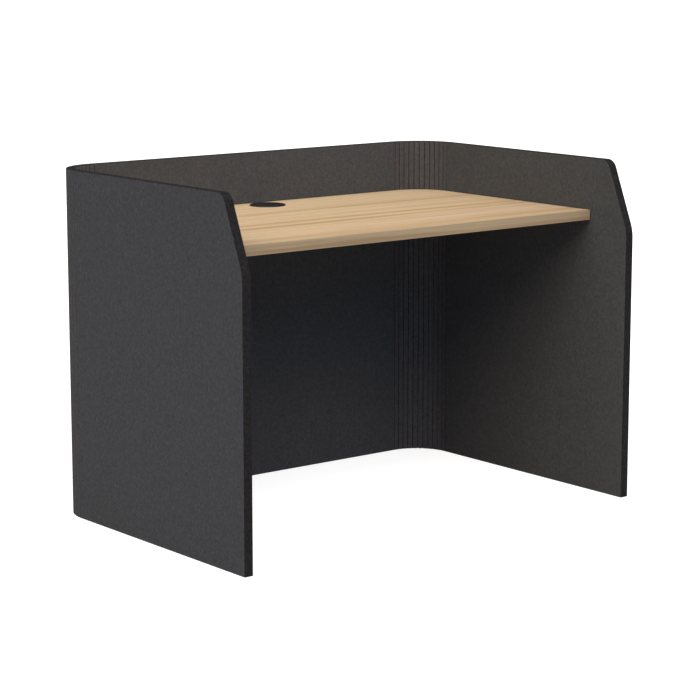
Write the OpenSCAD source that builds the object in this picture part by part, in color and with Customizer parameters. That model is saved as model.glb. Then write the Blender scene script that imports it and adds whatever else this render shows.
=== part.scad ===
// Privacy desk: a U-shaped screen of kerf-bent felt board stands on the floor and carries a worktop
// on steel angle brackets. Millimetres, +Z up. The origin is on the floor, at the centre of the
// desk's outline. The user sits on the -Y side, and +X is to the user's right.

/* [Overall size] */
// Width over the outside of the screen
width = 1200; // [1000:10:1600]
// Depth from the side panels' front edges to the outside of the rear panel
depth = 800; // [740:10:900]
// Height of the screen above the floor
height = 850; // [820:10:1100]

/* [Screen board] */
// Thickness of each of the two felt plies that are glued back to back
ply_t = 12; // [10:1:14]
// Radius of the rear corners at the inner face
corner_r = 100; // [90:1:120]
// How far the slanted top of a side panel's front edge leans back
slant_back = 70; // [40:5:90]
// Height of the slanted part of the front edge
slant_rise = 172; // [100:2:200]
// Rounding where the front edge starts to slant
slant_low_r = 100; // [60:5:120]
// Rounding where the slant meets the top edge
slant_top_r = 30; // [10:1:40]

/* [Kerfs and score lines] */
// Kerfs in the inner face of each rear corner, with a score line behind each in the outer face
kerf_count = 12; // [8:1:12]
// How far the board bends at each kerf
kerf_bend = 8; // [6:0.5:8]
// Width of a kerf while the board is still flat
kerf_w = 2; // [1.6:0.1:2.4]
// Depth of a kerf
kerf_depth = 8; // [6:0.5:9]
// Depth of a score line
score_depth = 1.5; // [1:0.1:3]
// Angle between the walls of a score line while the board is still flat
score_angle = 50; // [40:1:60]

/* [Worktop] */
// Height of the worktop's upper face above the floor
worktop_z = 720; // [700:5:760]
// Thickness of the worktop with both laminates
worktop_t = 25; // [22:1:30]
// Distance of the worktop's front edge behind the side panels' front edges
worktop_setback = 126; // [100:2:160]
// Gap between the worktop and the screen
worktop_gap = 2; // [1:0.5:4]
// Thickness of the laminate on each face
laminate_t = 0.5; // [0.4:0.1:1]
// Thickness of the edge band on the front edge
front_band_t = 2; // [1:0.5:3]
// Thickness of the edge band round the sides and the rear edge
rim_band_t = 1; // [0.5:0.5:2]

/* [Cable grommet] */
// Hole in the worktop
port_d = 80; // [76:1:84]
// Diameter of the flange that rests on the worktop
flange_d = 92; // [90:1:100]
// Thickness of the flange
flange_t = 2.8; // [2:0.2:4]
// Distance of the grommet's centre from the worktop's rear edge
port_inset = 62; // [55:1:100]
// Width of the cable notch in the cap
notch_w = 28; // [20:1:30]
// Direction of the cable notch, from +X towards +Y
notch_dir = 20; // [0:5:355]

/* [Brackets] */
// Length of an angle bracket
bracket_len = 280; // [200:10:300]
// Length of each leg
bracket_leg = 40; // [35:1:50]
// Thickness of the sheet
bracket_t = 3; // [2:0.5:4]
// Distance from the middle of a side bracket to the centre of the desk, towards the rear
side_bracket_y = 110; // [80:5:120]
// Distance of a rear bracket's middle from the desk's centre plane
rear_bracket_x = 280; // [220:10:300]

/* [Fasteners] */
// Screws in each leg of a bracket
screws_per_leg = 4; // [2:1:5]
// Shank diameter of the wood screws that hold the worktop
wood_screw_d = 4.5; // [4:0.5:5]
// Length of the wood screws below their heads
wood_screw_l = 20; // [16:1:22]
// Diameter of the machine screws that hold the brackets to the screen
machine_screw_d = 6; // [5:1:6]
// Length of the machine screws below their heads
machine_screw_l = 16; // [14:1:18]
// Outside diameter of the threaded inserts in the screen
insert_d = 10; // [9:0.5:12]
// Length of the threaded inserts
insert_l = 17; // [16:1:18]

/* [Hidden] */
$fn = 96;
over = 1;

// Screen: radii are measured from the centre of a rear corner
mid_r = corner_r + ply_t;
outer_r = corner_r + 2 * ply_t;
corner_x = width / 2 - outer_r;
corner_y = depth / 2 - outer_r;
front_y = -depth / 2;
inner_x = corner_x + corner_r;
inner_y = corner_y + corner_r;

// Bending nearly closes the mouths of the kerfs and opens the score lines
kerf_mouth = kerf_w - 2 * kerf_depth * tan(kerf_bend / 2);
score_floor = 0.4;
score_mouth = score_floor + 2 * score_depth * tan((score_angle + kerf_bend) / 2);
kerf_start = 45 - kerf_bend * (kerf_count - 1) / 2;

// Slant of the side panels' front edges: the corner points of the outline in the YZ plane
slant_angle = atan2(slant_back, slant_rise);
slant_low = [front_y, height - slant_rise];
slant_top = [front_y + slant_back, height];
slant_dir = [sin(slant_angle), cos(slant_angle)];
low_tangent = slant_low_r * tan(slant_angle / 2);
top_tangent = slant_top_r * tan((90 - slant_angle) / 2);

// Worktop
worktop_r = corner_r - worktop_gap;
core_r = worktop_r - rim_band_t;
worktop_bottom = worktop_z - worktop_t;
worktop_front = front_y + worktop_setback;
core_front = worktop_front + front_band_t;
core_bottom = worktop_bottom + laminate_t;
core_top = worktop_z - laminate_t;

// Grommet: the radii step inwards from the hole to the shutter
port_y = corner_y + worktop_r - port_inset;
port_r = port_d / 2;
flange_r = flange_d / 2;
flange_edge_r = 0.7 * flange_t;
sleeve_play = 0.2;
sleeve_r = port_r - sleeve_play;
sleeve_wall = 2.3;
sleeve_depth = 21;
seat_r = sleeve_r - sleeve_wall;
ledge_w = 3.5;
ledge_r = seat_r - ledge_w;
ledge_t = 4;
cap_play = 0.4;
cap_r = seat_r - cap_play;
cap_t = 3;
cap_sink = 0.6;
cap_top = worktop_z + flange_t - cap_sink;
cap_bottom = cap_top - cap_t;
part_gap = 0.3;
ledge_top = cap_bottom - part_gap;
ring_groove_r = cap_r - 4;
ring_groove_w = 1.2;
ring_groove_depth = 0.6;
shutter_t = 1.8;
shutter_r = ledge_r - 1;
shutter_top = cap_bottom - part_gap;
pin_r = 4;
pin_head_r = 5.8;
pin_head_t = 1.6;
pin_bottom = shutter_top - shutter_t - part_gap - pin_head_t;
hub_bore_r = pin_r + part_gap;
notch_end = 15;
notch_corner_r = 5;
// The shutter's notch is this much wider on each side, so it never narrows the cap's
shutter_notch_margin = 2;

// Brackets
bend_in_r = 1.5;
bend_out_r = bend_in_r + bracket_t;
leg_corner_r = 6;
screw_from_end = 30;
screw_pitch = (bracket_len - 2 * screw_from_end) / (screws_per_leg - 1);
screw_from_bend = bracket_leg * 0.58;
wood_hole_r = wood_screw_d / 2 + 0.3;
machine_hole_r = machine_screw_d / 2 + 0.3;
wood_head_r = 4.4;
wood_head_t = 2.3;
// Each arm of the wood screws' cross slot: length, width and depth
wood_slot = [5.2, 1, 1.3];
machine_head_r = machine_screw_d * 0.875;
machine_head_t = machine_screw_d * 0.55;
machine_hex_r = machine_screw_d / 3;
machine_hex_depth = 1.9;

felt_color = [0.13, 0.13, 0.14];
felt_inner_color = [0.16, 0.155, 0.15];
oak_color = [0.78, 0.69, 0.56];
oak_edge_color = [0.68, 0.58, 0.45];
core_color = [0.70, 0.60, 0.46];
plastic_color = [0.05, 0.05, 0.055];
coated_steel_color = [0.09, 0.09, 0.1];
zinc_color = [0.62, 0.63, 0.65];
brass_color = [0.72, 0.6, 0.33];

// Where the four brackets go: the middle of the bend line, and the turn about Z that faces the
// bracket's upright leg at the screen
left_at = [[-inner_x, side_bracket_y], 180];
right_at = [[inner_x, side_bracket_y], 0];
rear_left_at = [[-rear_bracket_x, inner_y], 90];
rear_right_at = [[rear_bracket_x, inner_y], 90];
PLACES = [left_at, right_at, rear_left_at, rear_right_at];

// ---- Screen ----

// Everything up to r outside the line through the corner centres, open towards the user
module plan_area(r, front) {
  translate([-corner_x - r, front])
    square([2 * (corner_x + r), corner_y - front]);
  translate([-corner_x, front])
    square([2 * corner_x, corner_y + r - front]);
  for (side = [-1, 1])
    translate([side * corner_x, corner_y])
      circle(r);
}

// Copies its children to every kerf, with +X pointing out of the corner's centre
module at_kerfs() {
  for (side = [0, 1])
    mirror([side, 0, 0])
      translate([corner_x, corner_y])
        for (i = [0 : kerf_count - 1])
          rotate(kerf_start + i * kerf_bend)
            children();
}

// A kerf, cut outwards from the inner face
module kerf_outline() {
  polygon([[corner_r - over, -kerf_mouth / 2], [corner_r, -kerf_mouth / 2],
           [corner_r + kerf_depth, -kerf_w / 2], [corner_r + kerf_depth, kerf_w / 2],
           [corner_r, kerf_mouth / 2], [corner_r - over, kerf_mouth / 2]]);
}

// A score line, cut inwards from the outer face
module score_outline() {
  polygon([[outer_r + over, -score_mouth / 2], [outer_r, -score_mouth / 2],
           [outer_r - score_depth, -score_floor / 2], [outer_r - score_depth, score_floor / 2],
           [outer_r, score_mouth / 2], [outer_r + over, score_mouth / 2]]);
}

// The part of a circle that rounds a convex corner between its two tangent points
module corner_arc(corner, tangent_a, tangent_b, centre, r) {
  intersection() {
    polygon([tangent_a, corner, tangent_b]);
    translate(centre)
      circle(r, $fn = 180);
  }
}

// Outline of a side panel, as [y, z]
module side_outline() {
  low_a = slant_low - [0, low_tangent];
  low_b = slant_low + low_tangent * slant_dir;
  top_a = slant_top - top_tangent * slant_dir;
  top_b = slant_top + [top_tangent, 0];
  polygon([[front_y, 0], low_a, low_b, top_a, top_b, [depth / 2, height], [depth / 2, 0]]);
  corner_arc(slant_low, low_a, low_b, low_a + [slant_low_r, 0], slant_low_r);
  corner_arc(slant_top, top_a, top_b, top_b - [0, slant_top_r], slant_top_r);
}

// A plan drawing raised to the height of the screen and cut to the outline of its side panels
module cut_to_side_outline() {
  intersection() {
    linear_extrude(height)
      children();
    rotate([90, 0, 90])
      translate([0, 0, -width / 2 - over])
        linear_extrude(width + 2 * over)
          side_outline();
  }
}

// Blind holes for the threaded inserts, open at the inner face
module insert_holes() {
  for (place = PLACES)
    at_place(place)
      along_panel_leg()
        translate([0, 0, -insert_l])
          cylinder(h = insert_l + over, d = insert_d);
}

module screen_outer_ply() {
  color(felt_color)
    difference() {
      cut_to_side_outline()
        difference() {
          plan_area(outer_r, front_y);
          plan_area(mid_r, front_y - over);
          at_kerfs()
            score_outline();
        }
      insert_holes();
    }
}

module screen_inner_ply() {
  color(felt_inner_color)
    difference() {
      cut_to_side_outline()
        difference() {
          plan_area(mid_r, front_y);
          plan_area(corner_r, front_y - over);
          at_kerfs()
            kerf_outline();
        }
      insert_holes();
    }
}

// ---- Worktop ----

// The hole for the grommet
module port_hole() {
  translate([0, port_y, worktop_bottom - over])
    cylinder(h = worktop_t + 2 * over, r = port_r);
}

// Holes that the wood screws have cut
module wood_screw_holes() {
  for (place = PLACES)
    at_place(place)
      along_worktop_leg()
        translate([0, 0, -over])
          cylinder(h = wood_screw_l - bracket_t + over, d = wood_screw_d);
}

module worktop_core() {
  color(core_color)
    difference() {
      translate([0, 0, core_bottom])
        linear_extrude(core_top - core_bottom)
          plan_area(core_r, core_front);
      port_hole();
      wood_screw_holes();
    }
}

module worktop_laminate() {
  color(oak_color)
    difference() {
      translate([0, 0, core_top])
        linear_extrude(laminate_t)
          plan_area(core_r, core_front);
      port_hole();
    }
}

module worktop_underside() {
  color(oak_color)
    difference() {
      translate([0, 0, worktop_bottom])
        linear_extrude(laminate_t)
          plan_area(core_r, core_front);
      port_hole();
      wood_screw_holes();
    }
}

module worktop_front_band() {
  color(oak_edge_color)
    translate([-corner_x - worktop_r, worktop_front, worktop_bottom])
      cube([2 * (corner_x + worktop_r), front_band_t, worktop_t]);
}

module worktop_rim_band() {
  color(oak_edge_color)
    translate([0, 0, worktop_bottom])
      linear_extrude(worktop_t)
        difference() {
          plan_area(worktop_r, core_front);
          plan_area(core_r, core_front - over);
        }
}

// ---- Cable grommet ----

module at_port() {
  translate([0, port_y, 0])
    rotate(notch_dir)
      children();
}

// Flange, sleeve and the ledge that the cap rests on
module grommet_ring() {
  color(plastic_color)
    at_port()
      rotate_extrude() {
        translate([seat_r, worktop_z])
          square([flange_r - flange_edge_r - seat_r, flange_t]);
        translate([seat_r, worktop_z])
          square([flange_r - seat_r, flange_t - flange_edge_r]);
        translate([flange_r - flange_edge_r, worktop_z + flange_t - flange_edge_r])
          intersection() {
            circle(flange_edge_r);
            square(flange_edge_r);
          }
        translate([seat_r, worktop_z - sleeve_depth])
          square([sleeve_wall, sleeve_depth]);
        translate([ledge_r, ledge_top - ledge_t])
          square([ledge_w, ledge_t]);
      }
}

// A notch for cables from the rim inwards, with rounded inner corners
module notch_outline(w, from) {
  translate([from + notch_corner_r, -w / 2])
    square([port_r, w]);
  translate([from, -w / 2 + notch_corner_r])
    square([port_r, w - 2 * notch_corner_r]);
  for (side = [-1, 1])
    translate([from + notch_corner_r, side * (w / 2 - notch_corner_r)])
      circle(notch_corner_r);
}

// Cap with its cable notch, a ring groove and the pin that the shutter turns on
module grommet_cap() {
  color(plastic_color)
    at_port() {
      difference() {
        translate([0, 0, cap_bottom])
          cylinder(h = cap_t, r = cap_r);
        translate([0, 0, cap_top - ring_groove_depth])
          difference() {
            cylinder(h = ring_groove_depth + over, r = ring_groove_r);
            translate([0, 0, -over])
              cylinder(h = ring_groove_depth + 3 * over, r = ring_groove_r - ring_groove_w);
          }
        translate([0, 0, cap_bottom - over])
          linear_extrude(cap_t + 2 * over)
            notch_outline(notch_w, notch_end);
      }
      translate([0, 0, pin_bottom])
        cylinder(h = cap_bottom - pin_bottom, r = pin_r);
      translate([0, 0, pin_bottom])
        cylinder(h = pin_head_t, r = pin_head_r);
    }
}

// Disc under the cap, with a notch that a turn brings in line with the cap's notch
module grommet_shutter() {
  color(plastic_color)
    at_port()
      translate([0, 0, shutter_top - shutter_t])
        difference() {
          cylinder(h = shutter_t, r = shutter_r);
          translate([0, 0, -over])
            cylinder(h = shutter_t + 2 * over, r = hub_bore_r);
          translate([0, 0, -over])
            linear_extrude(shutter_t + 2 * over)
              notch_outline(notch_w + 2 * shutter_notch_margin, notch_end - shutter_notch_margin);
        }
}

// ---- Brackets and fasteners ----

// Puts the bend line of a bracket on the screen's inner face, just below the worktop
module at_place(place) {
  translate([place[0][0], place[0][1], worktop_bottom])
    rotate(place[1])
      children();
}

// Copies its children along a bracket, one for each screw
module along_bracket() {
  for (i = [0 : screws_per_leg - 1])
    translate([0, (i - (screws_per_leg - 1) / 2) * screw_pitch, 0])
      children();
}

// The screws through the upright leg: +Z points from the board to the screw's head
module along_panel_leg() {
  along_bracket()
    translate([0, 0, -screw_from_bend])
      rotate([0, -90, 0])
        children();
}

// The screws through the level leg: +Z points up into the worktop
module along_worktop_leg() {
  along_bracket()
    translate([-screw_from_bend, 0, 0])
      children();
}

// Section of the folded sheet, as [x, z], with its bend at the origin
module bracket_section() {
  difference() {
    union() {
      translate([-bracket_leg, -bracket_t])
        square([bracket_leg - bend_out_r, bracket_t]);
      translate([-bracket_t, -bracket_leg])
        square([bracket_t, bracket_leg - bend_out_r]);
      translate([-bend_out_r, -bend_out_r])
        intersection() {
          circle(bend_out_r);
          square(bend_out_r);
        }
    }
    translate([-bend_out_r, -bend_out_r])
      circle(bend_in_r);
  }
}

// Rounded rectangle that trims both legs' free corners, in the plane of a leg
module leg_outline() {
  half = bracket_len / 2;
  translate([-bracket_leg + leg_corner_r, -half])
    square([bracket_leg - leg_corner_r + over, bracket_len]);
  translate([-bracket_leg, -half + leg_corner_r])
    square([bracket_leg, bracket_len - 2 * leg_corner_r]);
  for (end = [-1, 1])
    translate([-bracket_leg + leg_corner_r, end * (half - leg_corner_r)])
      circle(leg_corner_r);
}

module bracket(place) {
  color(coated_steel_color)
    at_place(place)
      difference() {
        intersection() {
          translate([0, bracket_len / 2, 0])
            rotate([90, 0, 0])
              linear_extrude(bracket_len)
                bracket_section();
          translate([0, 0, -bracket_leg - over])
            linear_extrude(bracket_leg + 2 * over)
              leg_outline();
          rotate([0, -90, 0])
            translate([0, 0, -over])
              linear_extrude(bracket_leg + 2 * over)
                leg_outline();
        }
        along_panel_leg()
          translate([0, 0, -over])
            cylinder(h = bracket_t + 2 * over, r = machine_hole_r);
        along_worktop_leg()
          translate([0, 0, -bracket_t - over])
            cylinder(h = bracket_t + 2 * over, r = wood_hole_r);
      }
}

// Pan head wood screws, driven up into the worktop
module worktop_screws(place) {
  color(zinc_color)
    at_place(place)
      along_worktop_leg()
        translate([0, 0, -bracket_t]) {
          cylinder(h = wood_screw_l, d = wood_screw_d);
          translate([0, 0, -wood_head_t])
            difference() {
              cylinder(h = wood_head_t, r = wood_head_r);
              for (turn = [0, 90])
                rotate(turn)
                  translate([-wood_slot[0] / 2, -wood_slot[1] / 2, -over])
                    cube([wood_slot[0], wood_slot[1], wood_slot[2] + over]);
            }
        }
}

// Socket head machine screws, driven into the inserts
module panel_screws(place) {
  color(zinc_color)
    at_place(place)
      along_panel_leg()
        translate([0, 0, bracket_t]) {
          translate([0, 0, -machine_screw_l])
            cylinder(h = machine_screw_l, d = machine_screw_d);
          difference() {
            cylinder(h = machine_head_t, r = machine_head_r);
            translate([0, 0, machine_head_t - machine_hex_depth])
              cylinder(h = machine_hex_depth + over, r = machine_hex_r, $fn = 6);
          }
        }
}

// Threaded inserts, flush with the inner face of the screen
module panel_inserts(place) {
  color(brass_color)
    at_place(place)
      along_panel_leg()
        translate([0, 0, -insert_l])
          difference() {
            cylinder(h = insert_l, d = insert_d);
            translate([0, 0, -over])
              cylinder(h = insert_l + 2 * over, d = machine_screw_d);
          }
}

screen_outer_ply();
screen_inner_ply();
worktop_core();
worktop_laminate();
worktop_underside();
worktop_front_band();
worktop_rim_band();
grommet_ring();
grommet_cap();
grommet_shutter();
bracket(left_at);  // bracket_left
bracket(right_at);  // bracket_right
bracket(rear_left_at);  // bracket_rear_left
bracket(rear_right_at);  // bracket_rear_right
worktop_screws(left_at);  // worktop_screws_left
worktop_screws(right_at);  // worktop_screws_right
worktop_screws(rear_left_at);  // worktop_screws_rear_left
worktop_screws(rear_right_at);  // worktop_screws_rear_right
panel_screws(left_at);  // panel_screws_left
panel_screws(right_at);  // panel_screws_right
panel_screws(rear_left_at);  // panel_screws_rear_left
panel_screws(rear_right_at);  // panel_screws_rear_right
panel_inserts(left_at);  // panel_inserts_left
panel_inserts(right_at);  // panel_inserts_right
panel_inserts(rear_left_at);  // panel_inserts_rear_left
panel_inserts(rear_right_at);  // panel_inserts_rear_right
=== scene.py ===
import math

import bmesh
import bpy
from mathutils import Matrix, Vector


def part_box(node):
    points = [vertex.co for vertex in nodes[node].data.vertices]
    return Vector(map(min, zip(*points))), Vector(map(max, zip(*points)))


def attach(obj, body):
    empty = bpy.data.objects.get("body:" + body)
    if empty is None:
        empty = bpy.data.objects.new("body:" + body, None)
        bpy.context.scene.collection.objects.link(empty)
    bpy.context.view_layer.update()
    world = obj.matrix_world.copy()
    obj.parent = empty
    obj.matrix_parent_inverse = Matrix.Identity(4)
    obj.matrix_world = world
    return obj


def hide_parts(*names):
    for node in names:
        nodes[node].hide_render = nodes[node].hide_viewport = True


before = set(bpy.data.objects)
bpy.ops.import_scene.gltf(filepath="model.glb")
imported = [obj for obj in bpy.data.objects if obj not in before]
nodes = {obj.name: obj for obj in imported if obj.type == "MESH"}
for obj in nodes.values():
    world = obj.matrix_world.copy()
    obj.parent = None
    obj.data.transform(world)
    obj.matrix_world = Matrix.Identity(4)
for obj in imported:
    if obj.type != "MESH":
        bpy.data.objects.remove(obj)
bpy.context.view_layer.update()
scene = bpy.context.scene

# ---- Sizes, in metres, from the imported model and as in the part's source ----
OUTER_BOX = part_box("screen_outer_ply")
INNER_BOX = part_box("screen_inner_ply")
FRONT_Y = OUTER_BOX[0].y
HEIGHT = OUTER_BOX[1].z
PLY_T = OUTER_BOX[1].x - INNER_BOX[1].x
CORNER_R = 0.100
MID_R = CORNER_R + PLY_T
OUTER_R = CORNER_R + 2 * PLY_T
CORNER_X = OUTER_BOX[1].x - OUTER_R
CORNER_Y = OUTER_BOX[1].y - OUTER_R
SLANT_BACK, SLANT_RISE = 0.070, 0.172
SLANT_LOW_R, SLANT_TOP_R = 0.100, 0.030
KERF_COUNT, KERF_PITCH, KERF_FIRST = 12, math.radians(8), math.radians(1)
RIM_BAND_T = 0.001
SPLIT_Y = -0.29  # the slanted front of each side panel lies before this plane
TINY = 1e-6

# ---- Grooves round the rear corners. fused is the share of fused felt on a groove's walls ----
KERF = dict(mouth=0.00088, floor=0.002, depth=0.008, lip=0.0013, lip_steps=5, fused=0.7)
SCORE = dict(mouth=0.00206, floor=0.0004, depth=0.0015, lip=0.0004, lip_steps=3, fused=0.15)
GLUED_STEP, GLUED_FAN = 0.0006, 0.0014  # these keep a groove's columns apart on the glued face

# ---- Eased edges, in metres ----
FELT_EASE = 0.0011
FRONT_BAND_EASE, FRONT_BAND_END_EASE = 0.0010, 0.0006
RIM_BAND_EASE = 0.0005
PLASTIC_EASE = 0.0003
BRACKET_EASE = 0.0005
WOOD_SCREW_EASE, SOCKET_SCREW_EASE, INSERT_EASE = 0.0002, 0.0003, 0.0002
SHARP_ANGLE = math.radians(35)  # an edge of a new piece that turns by more than this is shaded as an edge
EASED_ANGLE = math.radians(40)  # an edge of a CAD mesh that turns by more than this is eased
WELD_GAP = 0.00001


# ---- Camera ----

CAMERA_AT = (-3.5199, -4.4193, 1.4152)
CAMERA_YAW, CAMERA_PITCH = math.radians(38.695), math.radians(-10.303)
CAMERA_LENS, SENSOR_WIDTH = 119.16, 36


def add_camera():
    """A camera without shift. Its yaw is from +Y towards +X, and it is pitched down a little."""
    data = bpy.data.cameras.new("camera")
    data.lens = CAMERA_LENS
    data.sensor_width = SENSOR_WIDTH
    data.clip_start = 0.05
    data.clip_end = 200
    camera = bpy.data.objects.new("camera", data)
    scene.collection.objects.link(camera)
    camera.location = CAMERA_AT
    look = Vector((math.sin(CAMERA_YAW) * math.cos(CAMERA_PITCH),
                   math.cos(CAMERA_YAW) * math.cos(CAMERA_PITCH),
                   math.sin(CAMERA_PITCH)))
    camera.rotation_mode = "QUATERNION"
    camera.rotation_quaternion = look.to_track_quat("-Z", "Y")
    scene.camera = camera


add_camera()


# ---- Node graphs ----

class Graph:
    """A material's node tree with short calls for the nodes used here. A value is a socket or a constant."""

    def __init__(self, name):
        self.material = bpy.data.materials.new(name)
        self.material.use_nodes = True
        self.tree = self.material.node_tree
        self.shader = self.tree.nodes["Principled BSDF"]
        self.place = self.node("ShaderNodeTexCoord").outputs["Object"]

    def node(self, kind, **settings):
        n = self.tree.nodes.new(kind)
        for key, value in settings.items():
            setattr(n, key, value)
        return n

    def feed(self, socket, value):
        if isinstance(value, bpy.types.NodeSocket):
            self.tree.links.new(value, socket)
        elif isinstance(value, tuple) and len(value) == 3 and socket.type == "RGBA":
            socket.default_value = (*value, 1)
        else:
            socket.default_value = value

    def math(self, operation, a, b=0.0, c=None, clamp=False):
        n = self.node("ShaderNodeMath", operation=operation, use_clamp=clamp)
        self.feed(n.inputs[0], a)
        self.feed(n.inputs[1], b)
        if c is not None:
            self.feed(n.inputs[2], c)
        return n.outputs[0]

    def scaled(self, factors):
        """The place on the object, multiplied along each axis."""
        n = self.node("ShaderNodeVectorMath", operation="MULTIPLY")
        self.feed(n.inputs[0], self.place)
        n.inputs[1].default_value = factors
        return n.outputs[0]

    def strands(self, turn, shift, along, across):
        """Coordinates for fine strands that lie in upright faces, turned from level towards upright."""
        x, y, z = self.parts()
        level = self.math("ADD", x, y)
        u = self.weighed((level, math.cos(turn) * along), (z, math.sin(turn) * along))
        v = self.weighed((level, -math.sin(turn) * across), (z, math.cos(turn) * across))
        return self.joined(u, v, shift)

    def parts(self, vector=None):
        """The three parts of a vector, or of the place on the object."""
        n = self.node("ShaderNodeSeparateXYZ")
        self.feed(n.inputs[0], self.place if vector is None else vector)
        return n.outputs

    def joined(self, x, y, z):
        n = self.node("ShaderNodeCombineXYZ")
        for socket, value in zip(n.inputs, (x, y, z)):
            self.feed(socket, value)
        return n.outputs[0]

    def noise(self, vector, scale=1.0, detail=2.0, roughness=0.5, distortion=0.0):
        n = self.node("ShaderNodeTexNoise")
        self.feed(n.inputs["Vector"], vector)
        n.inputs["Scale"].default_value = scale
        n.inputs["Detail"].default_value = detail
        n.inputs["Roughness"].default_value = roughness
        n.inputs["Distortion"].default_value = distortion
        return n.outputs["Fac"]

    def cells(self, vector):
        """Cells of about one unit, each with a random colour."""
        n = self.node("ShaderNodeTexVoronoi")
        self.feed(n.inputs["Vector"], vector)
        n.inputs["Scale"].default_value = 1.0
        return n.outputs["Color"]

    def spread(self, value, low, high, to_low=0.0, to_high=1.0):
        """The value's range from low to high, stretched to another range and clamped there."""
        n = self.node("ShaderNodeMapRange", clamp=True)
        self.feed(n.inputs["Value"], value)
        n.inputs["From Min"].default_value = low
        n.inputs["From Max"].default_value = high
        n.inputs["To Min"].default_value = to_low
        n.inputs["To Max"].default_value = to_high
        return n.outputs["Result"]

    def mix(self, share, a, b, blend="MIX"):
        n = self.node("ShaderNodeMix", data_type="RGBA", blend_type=blend)
        factor, color_a, color_b, color_out = n.inputs["Factor"], n.inputs[6], n.inputs[7], n.outputs[2]
        self.feed(factor, share)
        self.feed(color_a, a)
        self.feed(color_b, b)
        return color_out

    def ramp(self, value, stops):
        n = self.node("ShaderNodeValToRGB")
        self.feed(n.inputs["Fac"], value)
        band = n.color_ramp
        while len(band.elements) < len(stops):
            band.elements.new(0.5)
        for element, (at, color) in zip(band.elements, stops):
            element.position = at
            element.color = (*color, 1)
        return n.outputs["Color"]

    def grey_ramp(self, value, stops):
        return self.ramp(value, [(at, (shade, shade, shade)) for at, shade in stops])

    def weighed(self, *pairs):
        """Sum of value * weight over the pairs."""
        total = None
        for value, weight in pairs:
            part = self.math("MULTIPLY", value, weight)
            total = part if total is None else self.math("ADD", total, part)
        return total

    def attribute(self, name):
        return self.node("ShaderNodeAttribute", attribute_name=name).outputs["Fac"]

    def bump(self, height, distance, strength):
        n = self.node("ShaderNodeBump")
        self.feed(n.inputs["Height"], height)
        n.inputs["Distance"].default_value = distance
        n.inputs["Strength"].default_value = strength
        return n.outputs["Normal"]

    def finish(self, color, roughness, normal=None, **fixed):
        """Fills the shader. What is the same all over goes on the shader's own sockets, in fixed."""
        self.feed(self.shader.inputs["Base Color"], color)
        self.feed(self.shader.inputs["Roughness"], roughness)
        if normal is not None:
            self.feed(self.shader.inputs["Normal"], normal)
        for key, value in fixed.items():
            self.shader.inputs[key.replace("_", " ")].default_value = value
        return self.material


# ---- Felt ----

# Painted light: round the corners the felt is made a little lighter and warmer, for the light the turned
# faces catch
BEND_PAINTED_LIGHT = (1.07, 1.025, 1.005)
FUSED_DARK, FUSED_LIGHT = (0.0070, 0.0063, 0.0063), (0.0230, 0.0207, 0.0204)
FIBRE_TURNS_AND_SHIFTS = ((0.0, 0.0), (1.05, 3.7), (2.1, 8.1))  # turn in radians, shift of the noise


def matted_fibres(g):
    """Thin ridges in three directions. A ridge lies where the noise is near 0.5."""
    narrowness = 13.0
    fibres = None
    for turn, shift in FIBRE_TURNS_AND_SHIFTS:
        place = g.strands(turn, shift, along=150, across=900)
        strand = g.noise(place, detail=1, roughness=0.5, distortion=1.5)
        off_middle = g.math("MULTIPLY_ADD", strand, narrowness, -narrowness / 2)
        ridge = g.math("SUBTRACT", 1.0, g.math("ABSOLUTE", off_middle), clamp=True)
        fibres = ridge if fibres is None else g.math("MAXIMUM", fibres, ridge)
    return fibres


def felt(name, dark, light, tint):
    """Needle-punched felt: matted fibres and soft mottling, with a tint in patches.

    The mesh's cut attribute is 1 on cut edges, which are darker and fused. Its bend attribute is 1 round the
    corners, where the face is painted a little lighter and warmer: painted light for the warmer light the
    turned faces catch."""
    g = Graph(name)
    fibres = matted_fibres(g)
    grit = g.noise(g.place, scale=620, detail=3, roughness=0.7)
    speck = g.noise(g.place, scale=280, detail=2, roughness=0.6, distortion=0.5)
    mottle = g.noise(g.place, scale=120, detail=3, roughness=0.6, distortion=0.6)
    patch = g.noise(g.place, scale=30, detail=2, roughness=0.5)
    cloud = g.noise(g.place, scale=4.5, detail=2, roughness=0.5)
    tone = g.weighed((fibres, 0.10), (grit, 0.14), (speck, 0.28), (mottle, 0.34), (patch, 0.06),
                     (cloud, 0.03))
    face = g.mix(g.spread(tone, 0.41, 0.61), dark, light)
    salt = g.spread(g.noise(g.place, scale=1500, detail=2, roughness=0.75), 0.30, 0.70, 0.68, 1.32)
    face = g.mix(1.0, face, g.joined(salt, salt, salt), "MULTIPLY")
    tinted = g.spread(g.noise(g.place, scale=21, detail=3, roughness=0.6), 0.40, 0.62)
    face = g.mix(g.math("MULTIPLY", tinted, 0.6), face, tint, "MULTIPLY")
    # painted light: lighter, warmer felt where the bend attribute is 1
    face = g.mix(g.attribute("bend"), face, BEND_PAINTED_LIGHT, "MULTIPLY")

    fused_tone = g.weighed((grit, 0.2), (speck, 0.5), (mottle, 0.3))
    fused = g.mix(g.spread(fused_tone, 0.40, 0.60), FUSED_DARK, FUSED_LIGHT)
    ragged_cut = g.math("ADD", g.attribute("cut"), g.spread(grit, 0.3, 0.7, -0.16, 0.16))
    color = g.mix(g.spread(ragged_cut, 0.25, 0.75), face, fused)

    height = g.weighed((fibres, 0.16), (grit, 0.45), (mottle, 0.30), (patch, 0.15))
    normal = g.bump(height, distance=0.00055, strength=0.75)
    return g.finish(color, roughness=0.93, normal=normal, Specular_IOR_Level=0.08, Sheen_Weight=0.015,
                    Sheen_Roughness=0.55, Sheen_Tint=(0.55, 0.56, 0.60, 1))


# ---- Oak decor ----

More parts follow.
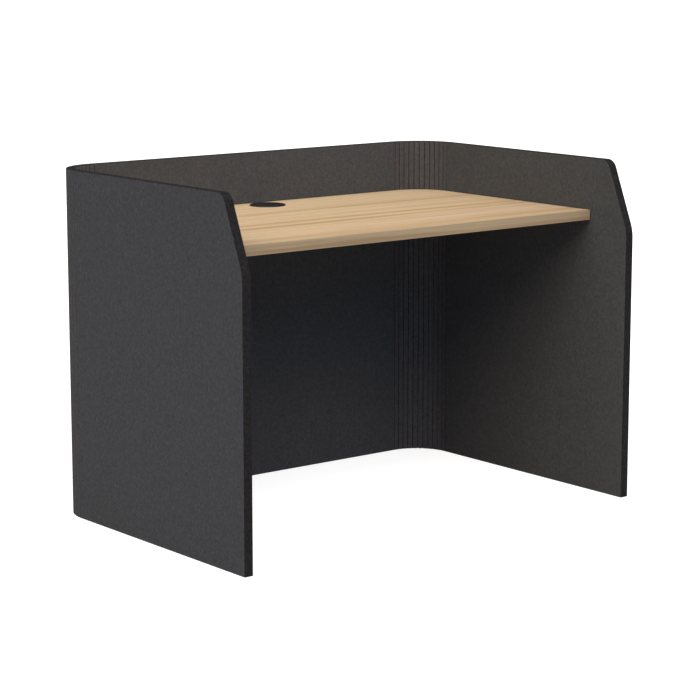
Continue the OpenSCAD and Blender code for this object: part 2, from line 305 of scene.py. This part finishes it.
# Noise layers of the grain: waves to the metre along and across it, detail, roughness and shift of the noise
GRAIN_LAYERS = {
    "hairs": (5, 430, 2, 0.6, 23.3),
    "bands": (0.45, 8.5, 2, 0.5, 0),
    "streaks": (0.9, 30, 3, 0.6, 3.1),
    "rays": (1.7, 72, 2, 0.6, 29.7),
    "lines": (2.2, 150, 3, 0.65, 7.7),
    "pores": (75, 1900, 1, 0.5, 11.3),
    "patches": (3.2, 9, 2, 0.5, 17.9),
}
# Sideways sway of the grain: waves to the metre along and across it, and how far it reaches in metres
GRAIN_SWAYS = ((1.1, 5, 0.020), (5, 26, 0.0035))


def grain(g, along, across, seed, wanted):
    """Straight grain with a slight sway. along and across are sockets in metres.

    Gives the place across the swaying grain, and the wanted layers by name."""
    def stretched(waves_along, place_across, waves_across, shift):
        return g.joined(g.math("MULTIPLY", along, waves_along),
                        g.math("MULTIPLY", place_across, waves_across), shift)

    sway = g.weighed(*((g.noise(stretched(waves_along, across, waves_across, seed), detail=2), reach)
                       for waves_along, waves_across, reach in GRAIN_SWAYS))
    swayed = g.math("ADD", across, sway)
    layers = {}
    for layer in wanted:
        waves_along, waves_across, detail, roughness, shift = GRAIN_LAYERS[layer]
        place = stretched(waves_along, swayed, waves_across, seed + shift)
        layers[layer] = g.noise(place, detail=detail, roughness=roughness)
    return swayed, layers


def oak_finish(g, color, layers, pore_share, pore_color, line_height, roughness_range):
    """Adds the pores and the fine relief of the grain, and fills the shader."""
    pore = g.spread(layers["pores"], 0.62, 0.70)
    color = g.mix(g.math("MULTIPLY", pore, pore_share), color, pore_color)
    height = g.math("SUBTRACT", g.math("MULTIPLY", layers["lines"], line_height), pore)
    roughness = g.spread(layers["streaks"], 0.3, 0.7, *roughness_range)
    return g.finish(color, roughness, g.bump(height, distance=0.00006, strength=0.6),
                    Specular_IOR_Level=0.32)


def oak_top(name, seed, start_y, end_y):
    """Straight grain along X in pale oak, with darker heartwood streaks at set shares from start to end."""
    g = Graph(name)
    x, y, _ = g.parts()
    swayed, layers = grain(g, x, y, seed, GRAIN_LAYERS)
    depth_share = g.spread(swayed, start_y, end_y)
    boards = g.grey_ramp(depth_share, [
        (0.00, 0.60), (0.24, 0.76), (0.282, 0.38), (0.305, 0.32), (0.330, 0.66), (0.53, 0.58),
        (0.560, 0.26), (0.580, 0.56), (0.612, 0.40), (0.630, 0.06), (0.652, 0.42), (0.690, 0.62),
        (0.84, 0.52), (0.880, 0.36), (0.900, 0.08), (0.930, 0.40)])
    tone = g.weighed((boards, 0.21), (layers["bands"], 0.05), (layers["streaks"], 0.26),
                     (layers["rays"], 0.20), (layers["lines"], 0.15), (layers["hairs"], 0.10),
                     (layers["patches"], 0.03))
    color = g.ramp(g.spread(tone, 0.39, 0.61), [
        (0.00, (0.425, 0.270, 0.123)), (0.22, (0.521, 0.351, 0.179)), (0.50, (0.606, 0.429, 0.241)),
        (0.78, (0.656, 0.478, 0.280)), (1.00, (0.687, 0.513, 0.315))])

    zones = g.grey_ramp(depth_share, [
        (0.00, 0.00), (0.10, 0.30), (0.20, 0.50), (0.29, 0.20), (0.40, 0.55), (0.62, 0.45),
        (0.72, 0.95), (1.00, 0.70)])
    hue_place = g.joined(g.math("MULTIPLY", x, 0.9), g.math("MULTIPLY", swayed, 16), seed + 5.0)
    hue = g.noise(hue_place, detail=2, roughness=0.5)
    rosy = g.weighed((g.spread(hue, 0.40, 0.62), 0.45), (zones, 0.70))
    color = g.mix(rosy, color, (0.985, 0.995, 1.13), "MULTIPLY")
    return oak_finish(g, color, layers, pore_share=0.42, pore_color=(0.33, 0.21, 0.11), line_height=0.35,
                      roughness_range=(0.56, 0.47))


def oak_edge(name, seed, low, high):
    """Edge band with a greyer upper zone and a tan lower zone that meet on a wandering line."""
    g = Graph(name)
    x, y, z = g.parts()
    along = g.math("ADD", x, g.math("MULTIPLY", y, 0.9))
    _, layers = grain(g, along, g.math("MULTIPLY", z, 1.35), seed, ("streaks", "lines", "pores"))
    rise = g.spread(z, low, high)
    wander_place = g.joined(g.math("MULTIPLY", along, 3.2), seed, 0.4)
    wander = g.spread(g.noise(wander_place, detail=3, roughness=0.6), 0.3, 0.7, -0.13, 0.13)
    upper = g.spread(g.math("ADD", rise, wander), 0.33, 0.50)
    streak = g.spread(g.weighed((layers["streaks"], 0.5), (layers["lines"], 0.5)), 0.38, 0.62)
    tan = g.mix(streak, (0.232, 0.152, 0.080), (0.345, 0.241, 0.138))
    grey = g.mix(streak, (0.285, 0.209, 0.121), (0.375, 0.284, 0.171))
    color = g.mix(upper, tan, grey)
    pale_line = g.spread(rise, 0.075, 0.028)
    color = g.mix(g.math("MULTIPLY", pale_line, 0.6), color, (0.44, 0.32, 0.20))
    return oak_finish(g, color, layers, pore_share=0.25, pore_color=(0.25, 0.16, 0.09), line_height=0.4,
                      roughness_range=(0.58, 0.48))


# ---- Chipboard, plastic and metals ----

def chipboard(name):
    """Raw chipboard: flat chips of mixed tone, with dust between them."""
    g = Graph(name)
    chips_per_metre = (240, 240, 620)
    chip_tone, chip_height, _ = g.parts(g.cells(g.scaled(chips_per_metre)))
    dust = g.noise(g.place, scale=900, detail=3, roughness=0.7)
    tone = g.weighed((chip_tone, 0.7), (dust, 0.3))
    color = g.ramp(tone, [
        (0.1, (0.30, 0.205, 0.115)), (0.45, (0.45, 0.335, 0.205)), (0.9, (0.60, 0.48, 0.32))])
    height = g.weighed((chip_height, 0.6), (dust, 0.4))
    normal = g.bump(height, distance=0.0003, strength=0.7)
    return g.finish(color, roughness=0.85, normal=normal, Specular_IOR_Level=0.25)


def moulded_plastic(name):
    """Black plastic with a fine spark texture and uneven polish."""
    g = Graph(name)
    spark = g.noise(g.place, scale=1700, detail=2, roughness=0.6)
    wear = g.noise(g.place, scale=60, detail=3, roughness=0.6)
    color = g.mix(g.spread(wear, 0.35, 0.7), (0.0075, 0.0075, 0.0085), (0.0125, 0.0125, 0.0140))
    roughness = g.spread(wear, 0.35, 0.7, 0.44, 0.56)
    return g.finish(color, roughness, g.bump(spark, distance=0.00016, strength=0.7),
                    Specular_IOR_Level=0.45)


def powder_coat(name):
    """Black powder coat with orange peel."""
    g = Graph(name)
    peel = g.noise(g.place, scale=420, detail=2, roughness=0.45)
    dust = g.noise(g.place, scale=1900, detail=2, roughness=0.6)
    color = g.mix(g.spread(dust, 0.35, 0.7), (0.026, 0.026, 0.028), (0.040, 0.040, 0.043))
    roughness = g.spread(peel, 0.3, 0.7, 0.42, 0.54)
    height = g.weighed((peel, 0.8), (dust, 0.2))
    return g.finish(color, roughness, g.bump(height, distance=0.00018, strength=0.5),
                    Specular_IOR_Level=0.5)


def turned_metal(name, dark, light, low_rough, high_rough):
    """Bare or plated metal with fine tool marks and faint stains."""
    g = Graph(name)
    marks_per_metre = (1500, 1500, 700)
    marks = g.noise(g.scaled(marks_per_metre), detail=3, roughness=0.6)
    stain = g.noise(g.place, scale=210, detail=3, roughness=0.6)
    color = g.mix(g.spread(g.weighed((marks, 0.4), (stain, 0.6)), 0.35, 0.65), dark, light)
    roughness = g.spread(stain, 0.3, 0.7, low_rough, high_rough)
    return g.finish(color, roughness, g.bump(marks, distance=0.00005, strength=0.5), Metallic=1.0)


# ---- The materials of this desk ----

# The inner felt has lighter, warmer colours than the outer felt: painted light for the warm bounce from the
# worktop onto the inner faces
FELT_OUTER = felt("felt_outer", dark=(0.0412, 0.0412, 0.0448), light=(0.0702, 0.0702, 0.0750),
                  tint=(1.0, 0.97, 0.95))
FELT_INNER_PAINTED_BOUNCE = felt("felt_inner", dark=(0.0508, 0.0481, 0.0460), light=(0.0798, 0.0755, 0.0717),
                  tint=(0.96, 0.99, 1.06))
LAMINATE_FRONT, LAMINATE_REAR = (corner.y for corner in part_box("worktop_laminate"))
OAK_TOP = oak_top("oak_laminate", 2.0, LAMINATE_REAR, LAMINATE_FRONT)
OAK_BELOW = oak_top("oak_underside", 31.0, LAMINATE_FRONT, LAMINATE_REAR)
BAND_LOW, BAND_HIGH = (corner.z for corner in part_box("worktop_front_band"))
OAK_EDGE = oak_edge("oak_edge", 5.0, BAND_LOW, BAND_HIGH)
CHIPBOARD = chipboard("chipboard")
PLASTIC = moulded_plastic("moulded_plastic")
COATED_STEEL = powder_coat("powder_coated_steel")
ZINC = turned_metal("zinc_plated_steel", dark=(0.46, 0.47, 0.49), light=(0.66, 0.67, 0.69),
                    low_rough=0.26, high_rough=0.42)
BRASS = turned_metal("brass", dark=(0.62, 0.45, 0.20), light=(0.78, 0.60, 0.30),
                     low_rough=0.28, high_rough=0.44)


# ---- Mesh helper ----

def add_piece(name, verts, faces, material, body, replaced, attributes=None):
    """A new piece of a body. attributes holds a value for each vertex, by the attribute's name."""
    mesh = bpy.data.meshes.new(name)
    mesh.from_pydata(verts, [], faces)
    bm = bmesh.new()
    bm.from_mesh(mesh)
    bmesh.ops.recalc_face_normals(bm, faces=bm.faces)
    bm.to_mesh(mesh)
    bm.free()
    mesh.materials.append(material)
    mesh.shade_smooth()
    mesh.set_sharp_from_angle(angle=SHARP_ANGLE)
    for key, values in (attributes or {}).items():
        mesh.attributes.new(key, "FLOAT", "POINT").data.foreach_set("value", values)
    obj = bpy.data.objects.new(name, mesh)
    scene.collection.objects.link(obj)
    weighted = obj.modifiers.new("weighted_normals", "WEIGHTED_NORMAL")
    weighted.keep_sharp = True
    weighted.weight = 80
    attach(obj, body)
    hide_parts(*replaced)


# ---- The felt screen ----

def slant_outline():
    """Front outline of a side panel as (y, z, normal y, normal z), from the top edge to the floor."""
    tilt = math.atan2(SLANT_BACK, SLANT_RISE)
    low_tangent = SLANT_LOW_R * math.tan(tilt / 2)
    top_tangent = SLANT_TOP_R * math.tan((math.pi / 2 - tilt) / 2)
    top_centre = (FRONT_Y + SLANT_BACK + top_tangent, HEIGHT - SLANT_TOP_R)
    low_centre = (FRONT_Y + SLANT_LOW_R, HEIGHT - SLANT_RISE - low_tangent)
    slant_normal = math.pi - tilt  # direction of the slant's normal, from +Y towards +Z
    points = []

    def arc(centre, r, start, end, steps):
        for i in range(steps + 1):
            a = start + (end - start) * i / steps
            ny, nz = math.cos(a), math.sin(a)
            points.append((centre[0] + r * ny, centre[1] + r * nz, ny, nz))

    arc(top_centre, SLANT_TOP_R, math.pi / 2, slant_normal, steps=14)
    arc(low_centre, SLANT_LOW_R, slant_normal, math.pi, steps=12)
    points.append((FRONT_Y, 0.0, -1.0, -1.0))  # the sharp corner on the floor takes a mitre
    return points


def groove_columns(face_r, mouth, floor, depth, lip, lip_steps, fused):
    """Columns of a groove on the +X axis: radius, offset, glued face's offset, and how fused the wall is."""
    inwards = 1 if face_r < MID_R else -1  # from the visible face into the ply
    side = []
    for i in range(lip_steps + 1):
        a = math.pi / 2 * i / lip_steps
        r = face_r + inwards * lip * (1 - math.cos(a))
        side.append((r, mouth / 2 + lip * (1 - math.sin(a)), fused * i / lip_steps))
    side.append((face_r + inwards * depth, floor / 2, fused))
    last = len(side) - 1
    widest = max(mouth, floor) / 2
    glued = [widest + GLUED_FAN * (1 - i / last) + (GLUED_STEP if i < last else 0.0)
             for i in range(last + 1)]
    left = [(r, -y, -b, c) for (r, y, c), b in zip(side, glued)]
    right = [(r, y, b, c) for (r, y, c), b in zip(reversed(side), reversed(glued))]
    return left + right


def corner_columns(face_r, groove):
    """Columns round the right rear corner, from +X to +Y: (face point, glued point, how cut it is)."""
    columns = []

    def add(angle, r, y=0.0, glued_y=0.0, cut=0.0):
        c, s = math.cos(angle), math.sin(angle)
        face = (CORNER_X + r * c - y * s, CORNER_Y + r * s + y * c)
        glued = (CORNER_X + MID_R * c - glued_y * s, CORNER_Y + MID_R * s + glued_y * c)
        columns.append((face, glued, cut))

    add(0.0, face_r)
    for k in range(KERF_COUNT):
        axis = KERF_FIRST + k * KERF_PITCH
        if k:
            for quarter in (1, 2, 3):
                add(axis - KERF_PITCH * (1 - quarter / 4), face_r)
        for r, y, glued_y, cut in groove:
            add(axis, r, y, glued_y, cut)
    add(math.pi / 2, face_r)
    return columns


def screen_rim(face_r, columns):
    """Points round a ply's rim: (face point, glued point, outward normal, how cut it is).

    The rim runs along the top from the left front to the right front, down the right panel's front edge,
    back along the floor and up the left panel's front edge."""
    outline = slant_outline()
    rim = [((*face, HEIGHT), (*glued, HEIGHT), (0, 0, 1), cut) for face, glued, cut in columns]
    for y, z, ny, nz in outline:
        rim.append(((CORNER_X + face_r, y, z), (CORNER_X + MID_R, y, z), (0, ny, nz), 0.0))
    for face, glued, cut in reversed(columns):
        rim.append(((*face, 0.0), (*glued, 0.0), (0, 0, -1), cut))
    for y, z, ny, nz in reversed(outline):
        rim.append(((-CORNER_X - face_r, y, z), (-CORNER_X - MID_R, y, z), (0, ny, nz), 0.0))
    return rim


def felt_ply(name, face_r, groove, material, replaced):
    """One ply of the U-shaped screen. Its visible face has eased cut edges and grooves round the corners.

    Each point of the rim gives a row of vertices that eases the visible face into the cut edge, and one
    vertex on the glued face. Both faces are then closed between the top and the floor."""
    flat_front = [((CORNER_X + face_r, SPLIT_Y), (CORNER_X + MID_R, SPLIT_Y), 0.0)]
    right = flat_front + corner_columns(face_r, groove)
    left = [((-face[0], face[1]), (-glued[0], glued[1]), cut) for face, glued, cut in right]
    columns = left + list(reversed(right))
    rim = screen_rim(face_r, columns)

    steps = 4
    verts, cuts, bends = [], [], []
    for face, glued, normal, cut in rim:
        past_flats = min(abs(face[0]) - CORNER_X, face[1] - CORNER_Y)
        bends += [float(past_flats > TINY)] * (steps + 2)
        face, glued, normal = Vector(face), Vector(glued), Vector(normal)
        inward = (glued - face).normalized()
        for i in range(steps + 1):
            a = math.pi / 2 * i / steps
            verts.append(face + inward * FELT_EASE * (1 - math.cos(a))
                         - normal * FELT_EASE * (1 - math.sin(a)))
            cuts.append(max(cut, i / steps))
        verts.append(glued)
        cuts.append(1.0)

    per = steps + 2  # vertices of a rim point
    count = len(rim)
    on_top = len(columns)
    faces = [(k * per + m, k * per + m + 1, (k + 1) % count * per + m + 1, (k + 1) % count * per + m)
             for k in range(count) for m in range(per - 1)]
    floor_start = count // 2  # the first rim point on the floor, under the last one on top
    floor_end = floor_start + on_top - 1
    for m in (0, per - 1):
        for i in range(on_top - 1):
            sheet_face = (i, i + 1, floor_end - i - 1, floor_end - i)
            faces.append(tuple(k * per + m for k in sheet_face))
        faces.append(tuple(k * per + m for k in range(on_top - 1, floor_start + 1)))
        faces.append(tuple(k * per + m for k in list(range(floor_end, count)) + [0]))
    add_piece(name, verts, faces, material, "desk", replaced, {"cut": cuts, "bend": bends})


felt_ply("screen_felt_inner", CORNER_R, groove_columns(CORNER_R, **KERF), FELT_INNER_PAINTED_BOUNCE,
         ["screen_inner_ply"])
felt_ply("screen_felt_outer", OUTER_R, groove_columns(OUTER_R, **SCORE), FELT_OUTER,
         ["screen_outer_ply"])


# ---- Worktop edge bands ----

def softened(lows, highs, rounded, r, steps=4):
    """A rectangle's outline as (u, v), with the corners named in rounded eased by r."""
    corners = [("low_low", lows[0], lows[1], 180), ("high_low", highs[0], lows[1], 270),
               ("high_high", highs[0], highs[1], 0), ("low_high", lows[0], highs[1], 90)]
    points = []
    for key, u, v, start in corners:
        if key not in rounded:
            points.append((u, v))
            continue
        cu = u + r if u == lows[0] else u - r
        cv = v + r if v == lows[1] else v - r
        for i in range(steps + 1):
            a = math.radians(start + 90 * i / steps)
            points.append((cu + r * math.cos(a), cv + r * math.sin(a)))
    return points


def swept(stations):
    """Vertices and faces of a solid through closed sections that have the same number of points."""
    per, count = len(stations[0]), len(stations)
    verts = [p for station in stations for p in station]
    faces = [(k * per + m, k * per + (m + 1) % per, (k + 1) * per + (m + 1) % per, (k + 1) * per + m)
             for k in range(count - 1) for m in range(per)]
    faces.append(tuple(range(per)))
    faces.append(tuple((count - 1) * per + m for m in range(per)))
    return verts, faces


def front_edge():
    """The front band, with its long edges and its ends eased on the visible side."""
    low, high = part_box("worktop_front_band")
    middle_z = (low.z + high.z) / 2
    section = softened((low.y, low.z), (high.y, high.z), ("low_low", "low_high"), FRONT_BAND_EASE)

    def drawn_in(y, z, by):
        """A section's point moved towards the middle of the glued face by up to by, within the section."""
        y2 = y if y > high.y - TINY else min(y + by, high.y)
        z2 = z - math.copysign(min(by, abs(z - middle_z)), z - middle_z)
        return y2, z2

    ends = [(low.x, FRONT_BAND_END_EASE), (low.x + FRONT_BAND_END_EASE, 0.0),
            (high.x - FRONT_BAND_END_EASE, 0.0), (high.x, FRONT_BAND_END_EASE)]
    verts, faces = swept([[(x, *drawn_in(y, z, by)) for y, z in section] for x, by in ends])
    add_piece("worktop_front_edge", verts, faces, OAK_EDGE, "desk", ["worktop_front_band"])


def rim_edge():
    """The band round the worktop's sides and rear, swept from its right front end to its left front end."""
    low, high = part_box("worktop_rim_band")
    outer_r = high.y - CORNER_Y
    section = softened((outer_r - RIM_BAND_T, low.z), (outer_r, high.z), ("high_low", "high_high"),
                       RIM_BAND_EASE)
    arc_steps = 24
    quarter = [math.pi / 2 * i / arc_steps for i in range(arc_steps + 1)]
    path = [((CORNER_X, low.y), 0.0)]
    path += [((CORNER_X, CORNER_Y), a) for a in quarter]
    path += [((-CORNER_X, CORNER_Y), math.pi / 2 + a) for a in quarter]
    path += [((-CORNER_X, low.y), math.pi)]
    verts, faces = swept([[(cx + r * math.cos(a), cy + r * math.sin(a), z) for r, z in section]
                          for (cx, cy), a in path])
    add_piece("worktop_rim_edge", verts, faces, OAK_EDGE, "desk", ["worktop_rim_band"])


front_edge()
rim_edge()


# ---- CAD nodes that are shown as they are, with their own finish ----

def finish_node(name, material, ease=0.0, segments=3):
    """Gives a CAD node its material and, where ease isn't 0, edges eased in so many segments."""
    obj = nodes[name]
    obj.data.materials.clear()
    obj.data.materials.append(material)
    weld = obj.modifiers.new("weld", "WELD")
    weld.merge_threshold = WELD_GAP
    if ease:
        bevel = obj.modifiers.new("ease", "BEVEL")
        bevel.width = ease
        bevel.segments = segments
        bevel.limit_method = "ANGLE"
        bevel.angle_limit = EASED_ANGLE
    weighted = obj.modifiers.new("weighted_normals", "WEIGHTED_NORMAL")
    weighted.keep_sharp = True


finish_node("worktop_laminate", OAK_TOP)
finish_node("worktop_underside", OAK_BELOW)
finish_node("worktop_core", CHIPBOARD)
for part in ("grommet_ring", "grommet_cap", "grommet_shutter"):
    finish_node(part, PLASTIC, PLASTIC_EASE)
for place in ("left", "right", "rear_left", "rear_right"):
    finish_node("bracket_" + place, COATED_STEEL, BRACKET_EASE)
    finish_node("worktop_screws_" + place, ZINC, WOOD_SCREW_EASE, segments=2)
    finish_node("panel_screws_" + place, ZINC, SOCKET_SCREW_EASE, segments=2)
    finish_node("panel_inserts_" + place, BRASS, INSERT_EASE, segments=2)


# ---- Floor and backdrop ----

FLOOR_HALF = 60
FLOOR_Z = -0.0006
BACKDROP_R = 58
BACKDROP_RINGS, BACKDROP_SIDES = 6, 32
BACKDROP_CLOSED = 0.98  # share of the way up to the dome's pole
floor_alone = bpy.data.collections.new("floor_alone")


def glowing_surface(name, verts, faces, color, roughness, glow):
    """A surface that glows white. Its glow reaches only the floor, and leaves the desk as it is."""
    mesh = bpy.data.meshes.new(name)
    mesh.from_pydata(verts, [], faces)
    obj = bpy.data.objects.new(name, mesh)
    scene.collection.objects.link(obj)
    g = Graph(name)
    mesh.materials.append(g.finish(color, roughness, Emission_Color=(1, 1, 1, 1), Emission_Strength=glow,
                                   Specular_IOR_Level=0.0))
    obj.light_linking.receiver_collection = floor_alone
    return obj


def add_floor():
    """A pale floor that takes the desk's shadow."""
    corners = [(x * FLOOR_HALF, y * FLOOR_HALF, FLOOR_Z) for x, y in ((-1, -1), (1, -1), (1, 1), (-1, 1))]
    floor = glowing_surface("floor", corners, [(0, 1, 2, 3)], (0.5, 0.5, 0.5), roughness=0.9, glow=0.80)
    floor_alone.objects.link(floor)


def add_backdrop():
    """A white dome that only the camera sees, for views that look above the floor's far edge."""
    verts, faces = [], []
    for ring in range(BACKDROP_RINGS + 1):
        rise = math.pi / 2 * ring / BACKDROP_RINGS * BACKDROP_CLOSED
        for side in range(BACKDROP_SIDES):
            turn = 2 * math.pi * side / BACKDROP_SIDES
            verts.append((BACKDROP_R * math.cos(turn) * math.cos(rise),
                          BACKDROP_R * math.sin(turn) * math.cos(rise),
                          BACKDROP_R * math.sin(rise) + FLOOR_Z))
    for ring in range(BACKDROP_RINGS):
        below, above = ring * BACKDROP_SIDES, (ring + 1) * BACKDROP_SIDES
        for side in range(BACKDROP_SIDES):
            after = (side + 1) % BACKDROP_SIDES
            faces.append((below + side, below + after, above + after, above + side))
    backdrop = glowing_surface("backdrop", verts, faces, (0, 0, 0), roughness=1.0, glow=1.0)
    for ray in ("diffuse", "glossy", "transmission", "volume_scatter", "shadow"):
        setattr(backdrop, "visible_" + ray, False)


add_floor()
add_backdrop()


# ---- Light ----

WORLD_LIGHT = (0.05, 0.05, 0.055)
# Name, azimuth and elevation it comes from and its softness in degrees, strength by channel, and whether
# it is seen in glossy surfaces. Azimuth 0 is from the front, and 90 is from the right.
SUNS = [
    ("key_front_left", -45, 45, 40, (0.640, 0.580, 0.505), True),
    ("fill_front", 0, 40, 40, (0.345, 0.330, 0.340), True),
    ("fill_left", -90, 40, 40, (0.390, 0.415, 0.405), True),
    ("fill_front_right", 45, 40, 40, (0.155, 0.180, 0.190), True),
    ("fill_low", -25, 12, 30, (0.004, 0.045, 0.125), True),
    ("fill_right", 90, 12, 40, (0.560, 0.560, 0.560), False),
    ("fill_rear", 180, 12, 40, (0.510, 0.510, 0.510), False),
]


def add_sun(name, azimuth, elevation, softness, strength, in_gloss):
    """A sun that shines from an azimuth and an elevation."""
    light = bpy.data.lights.new(name, "SUN")
    light.energy = math.pi * max(strength)
    light.color = [channel / max(strength) for channel in strength]
    light.angle = math.radians(softness)
    lamp = bpy.data.objects.new(name, light)
    scene.collection.objects.link(lamp)
    lamp.visible_glossy = in_gloss
    az, el = math.radians(azimuth), math.radians(elevation)
    source = Vector((math.sin(az) * math.cos(el), -math.cos(az) * math.cos(el), math.sin(el)))
    lamp.rotation_mode = "QUATERNION"
    lamp.rotation_quaternion = source.to_track_quat("Z", "Y")


world = bpy.data.worlds.new("world")
scene.world = world
world.use_nodes = True
background = world.node_tree.nodes["Background"]
background.inputs["Color"].default_value = (*WORLD_LIGHT, 1)
background.inputs["Strength"].default_value = 1.0
for sun in SUNS:
    add_sun(*sun)

scene.view_settings.view_transform = "Standard"
scene.view_settings.look = "None"
scene.view_settings.exposure = 0
